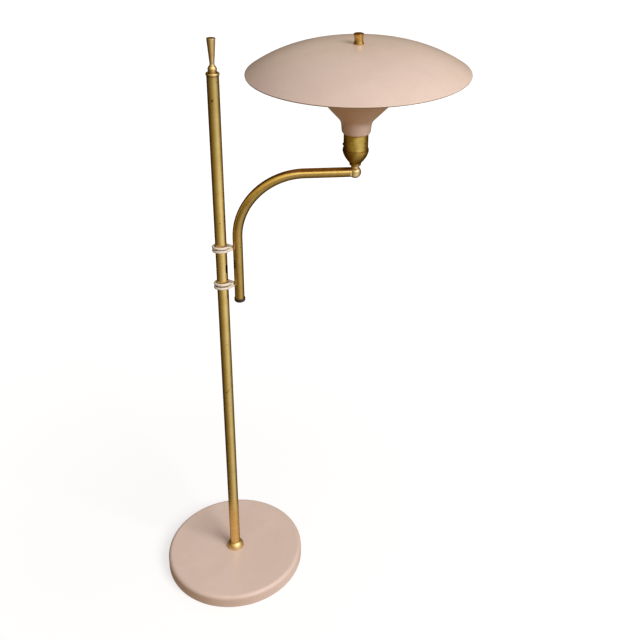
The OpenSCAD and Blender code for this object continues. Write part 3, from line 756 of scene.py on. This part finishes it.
def swept(name: str, points: Sequence[Vector], radius: float, sides: int) -> bpy.types.Object:
    """Makes a round tube with closed ends along a line, with a UV map.

    Args:
        name: The piece's name.
        points: The line's points.
        radius: The tube's outer radius.
        sides: How many sides the tube has.

    Returns:
        The tube.
    """
    line = bpy.data.curves.new(name, "CURVE")
    line.dimensions = "3D"
    line.bevel_depth = radius
    line.bevel_resolution = sides // 4
    line.use_fill_caps = True
    spline = line.splines.new("POLY")
    spline.points.add(len(points) - 1)
    for spot, point in zip(spline.points, points):
        spot.co = (*point, 1.0)
    rough = bpy.data.objects.new(name + "_line", line)
    data = bpy.data.meshes.new_from_object(rough)
    bpy.data.objects.remove(rough)
    bpy.data.curves.remove(line)
    mesh = bmesh.new()
    mesh.from_mesh(data)
    bpy.data.meshes.remove(data)
    bmesh.ops.remove_doubles(mesh, verts=mesh.verts, dist=0.001 * MM)
    lay_tube_uv(mesh, points, radius)
    return finish_mesh(mesh, name)


def lay_tube_uv(mesh: bmesh.types.BMesh, points: Sequence[Vector], radius: float) -> None:
    """Gives a swept tube a UV map: metres along its line, and turns to its side.

    The turns go from -1/4 to 1/4, from one side to the other, both over and under.

    Args:
        mesh: The tube.
        points: The line that it was swept along.
        radius: The tube's radius.
    """
    layer = mesh.loops.layers.uv.new(BENT_TUBE_UV)
    gone = [0.0]
    for before, after in zip(points, points[1:]):
        gone.append(gone[-1] + (after - before).length)
    near: dict[int, tuple[float, float]] = {}
    for vertex in mesh.verts:
        index = min(range(len(points)), key=lambda i: (points[i] - vertex.co).length_squared)
        side = (vertex.co - points[index]).y / radius
        near[vertex.index] = (gone[index], math.asin(max(-1.0, min(1.0, side))) / math.tau)
    for face in mesh.faces:
        for loop in face.loops:
            loop[layer].uv = near[loop.vert.index]


# ---------------------------------------------------------------------- the workshop


class Workshop:
    """Keeps the shared groups and finishes, and puts pieces on their bodies."""

    def __init__(self) -> None:
        """Builds every finish once."""
        self.patina = Patina().make()
        self.turning = Turning().make()
        paint = Enamel("enamel_outer", srgb(227, 204, 191), srgb(219, 194, 180))
        self.enamel = paint.make(self)
        # The shade's rim gets painted shade on its down-facing edge.
        low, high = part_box("shade_dome")
        rim = ((low.x + high.x) / 2, (high.x - low.x) / 2)
        self.shade_enamel = replace(paint, name="enamel_shade", rim=rim).make(self)
        self.pole_brass = Brass(
            "brass_pole", "brass", srgb(236, 207, 140), srgb(218, 182, 102), cloudiness=0.35,
            roughness=0.27, spot_share=0.015, lathe_depth=0.003 * MM,
            blots=(((-0.003, -0.0105, 1.108), (0.003, 0.006, 0.004)),),
            stains=(Stain(height=0.478, first=-23, last=75, climb=0.045, width=1.3 * MM,
                          strength=0.95),
                    Stain(height=0.495, first=-10, last=60, climb=0.053, width=0.9 * MM,
                          strength=0.6),
                    Stain(height=0.597, first=-5, last=35, climb=0.001, width=1.2 * MM,
                          strength=0.4))).make(self)
        self.arm_brass = Brass(
            "brass_arm", "brass", srgb(230, 197, 124), srgb(200, 161, 78), roughness=0.25,
            cloudiness=0.4, spot_share=0.02, grain=Grain.ALONG_UV, lathe_pitch=1.1 * MM,
            # The arm's faces that look down get painted shade.
            lathe_depth=0.004 * MM, underside_shade=0.85).make(self)
        self.turned_brass = Brass(
            "brass_turned", "brass", srgb(238, 212, 164), srgb(212, 178, 116),
            roughness=0.33, spot_share=0.03, lathe_depth=0.004 * MM).make(self)
        self.finial_brass = Brass(
            "brass_finial", "brass", srgb(222, 180, 106), srgb(188, 142, 70),
            roughness=0.26, spot_share=0.04, lathe_depth=0.004 * MM).make(self)
        self.aged_brass = Brass(
            "brass_aged", "antique_brass", srgb(240, 210, 118), srgb(176, 138, 64),
            roughness=0.32, cloudiness=0.75, spot_share=0.2, lathe_depth=0.006 * MM).make(self)
        self.cap_brass = Brass(
            "brass_cap", "antique_brass", srgb(218, 180, 98), srgb(160, 122, 58),
            roughness=0.34, cloudiness=0.75, spot_share=0.15, lathe_depth=0.006 * MM,
            # The cap's faces that look down get painted shade.
            underside_shade=0.5).make(self)
        self.wire = Plain("wire_sleeve", "wire_sleeve", srgb(238, 230, 216), srgb(228, 218, 202),
                          roughness=0.36, grain_depth=0.01 * MM, coat=0.2).make(self)
        self.bush = Plain("bush_liner", "bush_liner", srgb(150, 118, 66),
                          srgb(120, 92, 50)).make(self)
        self.black = Plain("dark_moulding", "black_plastic", srgb(30, 22, 18), srgb(44, 32, 26),
                           roughness=0.32, coat=0.2).make(self)
        self.iron = Plain("cast_iron", "iron", srgb(66, 62, 58), srgb(48, 44, 42), roughness=0.7,
                          grain_scale=500.0, grain_depth=0.4 * MM).make(self)
        self.felt = Plain("felt", "felt", srgb(58, 62, 54), srgb(46, 50, 44), roughness=0.95,
                          grain_scale=1400.0, grain_depth=0.6 * MM).make(self)
        self.steel = Plain("plated_steel", "steel", srgb(190, 190, 188), srgb(164, 164, 160),
                           roughness=0.34, metallic=1.0).make(self)
        self.card = Plain("pressed_fibre", "liner_card", srgb(150, 116, 82), srgb(132, 98, 68),
                          roughness=0.85, grain_depth=0.1 * MM).make(self)
        self.moulded = Plain("moulded_body", "moulded_body", srgb(74, 46, 34), srgb(60, 38, 28),
                             roughness=0.45).make(self)
        self.bulb_metal = Plain("bulb_cap", "bulb_metal", srgb(204, 202, 194), srgb(186, 184, 176),
                                roughness=0.3, metallic=1.0).make(self)
        self.bulb_glass = Plain("bulb_glass", "bulb_glass", srgb(246, 244, 238), srgb(240, 237, 230),
                                roughness=0.35, coat=0.3, grain_depth=0.01 * MM).make(self)

    def dress(self, finish: Finish, *nodes: str) -> None:
        """Gives CAD nodes a finish.

        Args:
            finish: The finish.
            nodes: The nodes' names.
        """
        for name in nodes:
            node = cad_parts[name]
            node.data.materials.clear()
            node.data.materials.append(finish.material)
            log.info("dressed %s in %s", name, finish.material.name)

    def place(self, piece: bpy.types.Object, body: str, finish: Finish, *nodes: str) -> None:
        """Puts a piece on its body in place of CAD nodes.

        Args:
            piece: The piece.
            body: The body that it rides on.
            finish: Its finish.
            nodes: The nodes that it stands for.
        """
        piece.data.materials.append(finish.material)
        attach(piece, body)
        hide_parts(*nodes)
        log.info("placed %s on %s for %s", piece.name, body, ", ".join(nodes))


# ---------------------------------------------------------------------- the lamp


@dataclass
class Stand:
    """The base, the pole and what is fixed to them."""

    kit: Workshop

    def build(self) -> None:
        """Dresses the whole stand."""
        kit = self.kit
        kit.dress(kit.enamel, "base_shell")
        kit.dress(kit.turned_brass, "foot_collar", "pole_top_ring", "pole_spire",
                  "pole_foot_plug", "pole_top_plug")
        kit.dress(kit.pole_brass, "pole_foot_tube", "pole_lower_tube", "pole_slot_tube",
                  "pole_upper_tube")
        kit.dress(kit.iron, "base_weight")
        kit.dress(kit.felt, "base_felt")
        kit.dress(kit.steel, "base_washer", "base_nut", "pole_tie_rod")
        kit.dress(kit.black, "cord_inlet_bushing")


def arm_line() -> tuple[float, float]:
    """Reads the arm's place and size from its node.

    Returns:
        The x of the arm's upright part, and the arm tube's radius.
    """
    low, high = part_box("arm_tube")
    radius = (high.y - low.y) / 2
    return low.x + radius, radius


@dataclass
class WireRing:
    """One covered wire, wound twice round the pole with both its ends on the arm.

    The radius is that of the wire in its sleeve, and its ends bite a little into the arm.
    The loops tip to one side, and the wire climbs from the first turn to the second within
    climb_half each way of the side that faces the arm. Angles are in degrees.
    """

    radius: float = 2.7 * MM
    bite: float = 0.3 * MM
    bush_clearance: float = 0.3 * MM
    tip: float = 8.0
    climb_half: float = 40.0
    leg_steps: int = 8
    loop_steps: int = 96
    sides: int = 24

    def path(self, height: float, turn_gap: float) -> list[Vector]:
        """Gives the wire's middle line, from the arm round the pole and back.

        Args:
            height: The ring's height.
            turn_gap: The free space between the two turns.

        Returns:
            The line's points.
        """
        low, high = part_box("upper_friction_bush")
        loop = (high.x - low.x) / 2 + self.bush_clearance + self.radius
        arm_x, arm_radius = arm_line()
        end = arm_x - arm_radius + self.bite
        leave = math.acos(loop / end)
        leg = math.sqrt(end ** 2 - loop ** 2)
        wrap = 2 * math.tau - 2 * leave

        def at(angle: float) -> Vector:
            """Finds a point of the loops.

            Args:
                angle: The angle round the pole from the arm, over both turns.

            Returns:
                The point.
            """
            share = (angle - math.tau) / (2 * math.radians(self.climb_half)) + 0.5
            share = min(max(share, 0.0), 1.0)
            climb = share * share * (3 - 2 * share) - 0.5
            rise = loop * math.tan(math.radians(self.tip)) * math.sin(angle)
            return Vector((loop * math.cos(angle), -loop * math.sin(angle),
                           height + (2 * self.radius + turn_gap) * climb + rise))

        first, last = at(leave), at(leave + wrap)
        near = Vector((math.sin(leave), math.cos(leave), 0))
        far = Vector((math.sin(leave), -math.cos(leave), 0))
        steps = range(self.leg_steps, 0, -1)
        return ([first + near * leg * i / self.leg_steps for i in steps]
                + [at(leave + wrap * i / self.loop_steps) for i in range(self.loop_steps + 1)]
                + [last + far * leg * i / self.leg_steps for i in reversed(steps)])

    def build(self, kit: Workshop, node: str, turn_gap: float) -> None:
        """Winds the ring that stands for one node.

        Args:
            kit: The workshop.
            node: The node's name.
            turn_gap: The free space between the two turns.
        """
        low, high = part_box(node)
        points = self.path((low.z + high.z) / 2, turn_gap)
        sleeve = swept(node + "_sleeve", points, self.radius, self.sides)
        kit.place(sleeve, "arm", kit.wire, node)


@dataclass
class Arm:
    """The bent arm, its two wire rings and its end bushing."""

    kit: Workshop
    bend_radius: float = 128 * MM
    bend_steps: int = 72
    straight_steps: int = 12
    sides: int = 64

    def build(self) -> None:
        """Builds and dresses the arm and the friction bushes."""
        self.tube()
        ring = WireRing()
        ring.build(self.kit, "upper_wire_ring", 1.8 * MM)
        ring.build(self.kit, "lower_wire_ring", 2.8 * MM)
        self.kit.dress(self.kit.turned_brass, "arm_end_plug")
        self.kit.dress(self.kit.steel, "arm_nipple")
        self.kit.dress(self.kit.black, "arm_end_bushing")
        self.kit.dress(self.kit.bush, "upper_friction_bush", "lower_friction_bush")

    def tube(self) -> None:
        """Bends the arm's tube, with a UV map that its drawing marks follow."""
        x, radius = arm_line()
        low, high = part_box("arm_tube")
        level = high.z - radius
        centre = Vector((x + self.bend_radius, 0, level - self.bend_radius))
        steps = self.straight_steps
        upright = [Vector((x, 0, low.z + (centre.z - low.z) * i / steps)) for i in range(steps)]
        turns = (math.pi / 2 * i / self.bend_steps for i in range(self.bend_steps + 1))
        bend = [centre + self.bend_radius * Vector((-math.cos(turn), 0, math.sin(turn)))
                for turn in turns]
        straight = [Vector((centre.x + (high.x - centre.x) * i / steps, 0, level))
                    for i in range(1, steps + 1)]
        tube = swept("arm_tube_bent", upright + bend + straight, radius, self.sides)
        self.kit.place(tube, "arm", self.kit.arm_brass, "arm_tube")


@dataclass
class Head:
    """The elbow, the socket, the funnel, the bulb and the shade."""

    kit: Workshop

    def build(self) -> None:
        """Dresses the head."""
        kit = self.kit
        kit.dress(kit.turned_brass, "ball_elbow", "funnel_clamp_ring", "screw_shell",
                  "centre_contact")
        kit.dress(kit.finial_brass, "shade_finial")
        kit.dress(kit.aged_brass, "socket_shell")
        kit.dress(kit.cap_brass, "socket_cap")
        kit.dress(kit.enamel, "reflector_funnel")
        kit.dress(kit.shade_enamel, "shade_dome")
        kit.dress(kit.steel, "neck_nipple", "neck_nut", "terminal_screws", "shade_carrier",
                  "carrier_screws", "carrier_nuts", "carrier_stud", "carrier_stud_nut")
        kit.dress(kit.card, "socket_liner", "fibre_washer")
        kit.dress(kit.moulded, "socket_body")
        kit.dress(kit.bulb_metal, "bulb_base")
        kit.dress(kit.bulb_glass, "bulb_glass")
        kit.dress(kit.black, "switch_key")


# ---------------------------------------------------------------------- the studio


@dataclass
class Studio:
    """The floor, the light and the camera.

    The camera's numbers were fitted to the photograph. Names with px are in pixels of a
    picture image_px wide, the sensor is in millimetres, angles are in degrees, and all other
    lengths are in metres. Floor ramps go by the distance from the pole. The other ramps go
    by the height, or by how far back, of the direction that is looked in.
    """

    focal_px: float = 859.9
    image_px: float = 640.0
    sensor: float = 36.0
    centre_px: tuple[float, float] = (382.7, 255.9)
    pitch: float = 27.767
    yaw: float = 12.013
    roll: float = 2.855
    distance: float = 1.49325
    height: float = 1.58227
    floor_half: float = 20.0
    floor_paper: Colour = (0.42, 0.42, 0.42)
    floor_bounce: Colour = (0.36, 0.21, 0.10)
    floor_glow: Ramp = (0.25, 1.9, 0.64, 0.84)
    floor_near: Ramp = (0.5, 1.8, 0.72, 1.0)
    floor_far: Ramp = (1.9, 3.4, 1.0, 0.6)
    sky_light: Colour = (0.48, 0.445, 0.42)
    sky_rise: Ramp = (0.0, 0.8, 0.3, 1.15)
    band_rise: Ramp = (0.0, 0.6, 0.7, 2.2)
    band_fall: Ramp = (0.84, 1.0, 1.0, 0.06)
    back_low: Ramp = (0.0, 0.4, 1.0, 0.1)
    back_high: Ramp = (0.3, 0.7, 1.0, 0.0)
    key_place: tuple[float, float, float] = (3.5, -3.9, 4.2)
    key_aim: tuple[float, float, float] = (0.1, 0.0, 0.65)
    key_size: float = 3.2
    key_power: float = 325.0
    key_colour: Colour = (1.0, 0.985, 0.975)

    def build(self) -> None:
        """Builds the camera, the floor, the world and the light."""
        self.sweep = Sweep().make()
        self.camera()
        self.floor()
        self.world()
        self.key_light()
        bpy.context.scene.view_settings.view_transform = "Standard"

    def camera(self) -> None:
        """Sets the camera at the photograph's place, turn and framing."""
        data = bpy.data.cameras.new("camera")
        data.sensor_width = self.sensor
        data.lens = self.focal_px * self.sensor / self.image_px
        data.shift_x = (self.image_px / 2 - self.centre_px[0]) / self.image_px
        data.shift_y = (self.centre_px[1] - self.image_px / 2) / self.image_px
        camera = bpy.data.objects.new("camera", data)
        turn = (Matrix.Rotation(-math.radians(self.yaw), 4, "Z")
                @ Matrix.Rotation(math.radians(90 - self.pitch), 4, "X")
                @ Matrix.Rotation(math.radians(self.roll), 4, "Z"))
        camera.matrix_world = Matrix.Translation((0, -self.distance, self.height)) @ turn
        bpy.context.scene.collection.objects.link(camera)
        bpy.context.scene.camera = camera

    def floor(self) -> None:
        """Makes a wide floor: pale paper with a soft shadow to the camera, warm to the lamp."""
        mesh = bmesh.new()
        bmesh.ops.create_grid(mesh, x_segments=1, y_segments=1, size=self.floor_half)
        piece = finish_mesh(mesh, "studio_floor")
        material = bpy.data.materials.new("floor_paper")
        material.use_nodes = True
        tree = Tree(material.node_tree)
        material.node_tree.nodes.clear()
        output = tree.add("ShaderNodeOutputMaterial")
        path = tree.add("ShaderNodeLightPath")
        seen = path.outputs["Is Camera Ray"]
        place = tree.add("ShaderNodeTexCoord").outputs["Object"]
        away = tree.length(place)
        paper = tree.feed(tree.add("ShaderNodeBsdfDiffuse"),
                          Color=tree.blend(seen, self.floor_bounce, self.floor_paper))
        glow = tree.feed(tree.add("ShaderNodeEmission"), Color=(1.0, 1.0, 1.0, 1.0),
                         Strength=tree.times(seen, tree.stretch(away, *self.floor_glow)))
        lit = tree.add("ShaderNodeAddShader")
        tree.put(paper.outputs[0], lit.inputs[0])
        tree.put(glow.outputs[0], lit.inputs[1])
        strength = tree.times(tree.stretch(away, *self.floor_near),
                              tree.stretch(away, *self.floor_far))
        mirrored = tree.feed(tree.add("ShaderNodeEmission"), Color=self.sight(tree, place),
                             Strength=strength)
        either = tree.add("ShaderNodeMixShader")
        tree.put(self.shiny_share(tree, path), either.inputs[0])
        tree.put(lit.outputs[0], either.inputs[1])
        tree.put(mirrored.outputs[0], either.inputs[2])
        tree.feed(output, Surface=either.outputs[0])
        piece.data.materials.append(material)

    def sight(self, tree: Tree, direction: bpy.types.NodeSocket) -> bpy.types.NodeSocket:
        """Gives what shiny surfaces see in a direction on the level."""
        sweep = tree.add("ShaderNodeGroup", node_tree=self.sweep)
        return tree.feed(sweep, Vector=direction).outputs["Sight"]

    @staticmethod
    def shiny_share(tree: Tree, path: bpy.types.Node) -> bpy.types.NodeSocket:
        """Gives 1 where a shiny or clear surface looks, and 0 elsewhere."""
        return tree.calc("MAXIMUM", path.outputs["Is Glossy Ray"],
                         path.outputs["Is Transmission Ray"])

    def world(self) -> None:
        """Makes a world that is white to the camera and an even soft light elsewhere."""
        world = bpy.data.worlds.new("studio")
        bpy.context.scene.world = world
        world.use_nodes = True
        tree = Tree(world.node_tree)
        world.node_tree.nodes.clear()
        output = tree.add("ShaderNodeOutputWorld")
        path = tree.add("ShaderNodeLightPath")
        direction = tree.add("ShaderNodeTexCoord").outputs["Generated"]
        even = tree.blend(path.outputs["Is Camera Ray"], self.sky_dome(tree, direction),
                          (1.0, 1.0, 1.0))
        sky = tree.feed(tree.add("ShaderNodeBackground"),
                        Color=tree.blend(self.shiny_share(tree, path), even,
                                         self.overhead(tree, direction)))
        tree.feed(output, Surface=sky.outputs[0])

    def sky_dome(self, tree: Tree, direction: bpy.types.NodeSocket) -> bpy.types.NodeSocket:
        """Gives the even light that falls on paint: full from overhead, weak from the sides.

        Args:
            tree: The world's tree.
            direction: The direction that is looked in.

        Returns:
            The colour.
        """
        up = tree.split(direction)[2]
        return tree.brighten(self.sky_light, tree.stretch(up, *self.sky_rise))

    def overhead(self, tree: Tree, direction: bpy.types.NodeSocket) -> bpy.types.NodeSocket:
        """Gives what shiny surfaces see of the room: a pale band part-way up, dark above it.

        Args:
            tree: The world's tree.
            direction: The direction that is looked in.

        Returns:
            The colour.
        """
        _, back, up = tree.split(direction)
        band = tree.times(tree.stretch(up, *self.band_rise), tree.stretch(up, *self.band_fall))
        behind = tree.calc("MAXIMUM", tree.stretch(back, *self.back_low),
                           tree.stretch(up, *self.back_high))
        return tree.brighten(self.sight(tree, direction), tree.times(band, behind))

    def key_light(self) -> None:
        """Hangs the one soft square light, which faces the lamp's middle."""
        data = bpy.data.lights.new("key", "AREA")
        data.size = self.key_size
        data.energy = self.key_power
        data.color = self.key_colour
        light = bpy.data.objects.new("key", data)
        light.visible_glossy = False
        aim = Vector(self.key_aim) - Vector(self.key_place)
        light.matrix_world = (Matrix.Translation(self.key_place)
                              @ aim.to_track_quat("-Z", "Y").to_matrix().to_4x4())
        bpy.context.scene.collection.objects.link(light)


def main() -> None:
    """Builds the studio and the lamp, and reports each piece."""
    logging.basicConfig(level=logging.INFO, format="%(name)s: %(message)s")
    kit = Workshop()
    Studio().build()
    Stand(kit).build()
    Arm(kit).build()
    Head(kit).build()


if __name__ == "__main__":
    main()
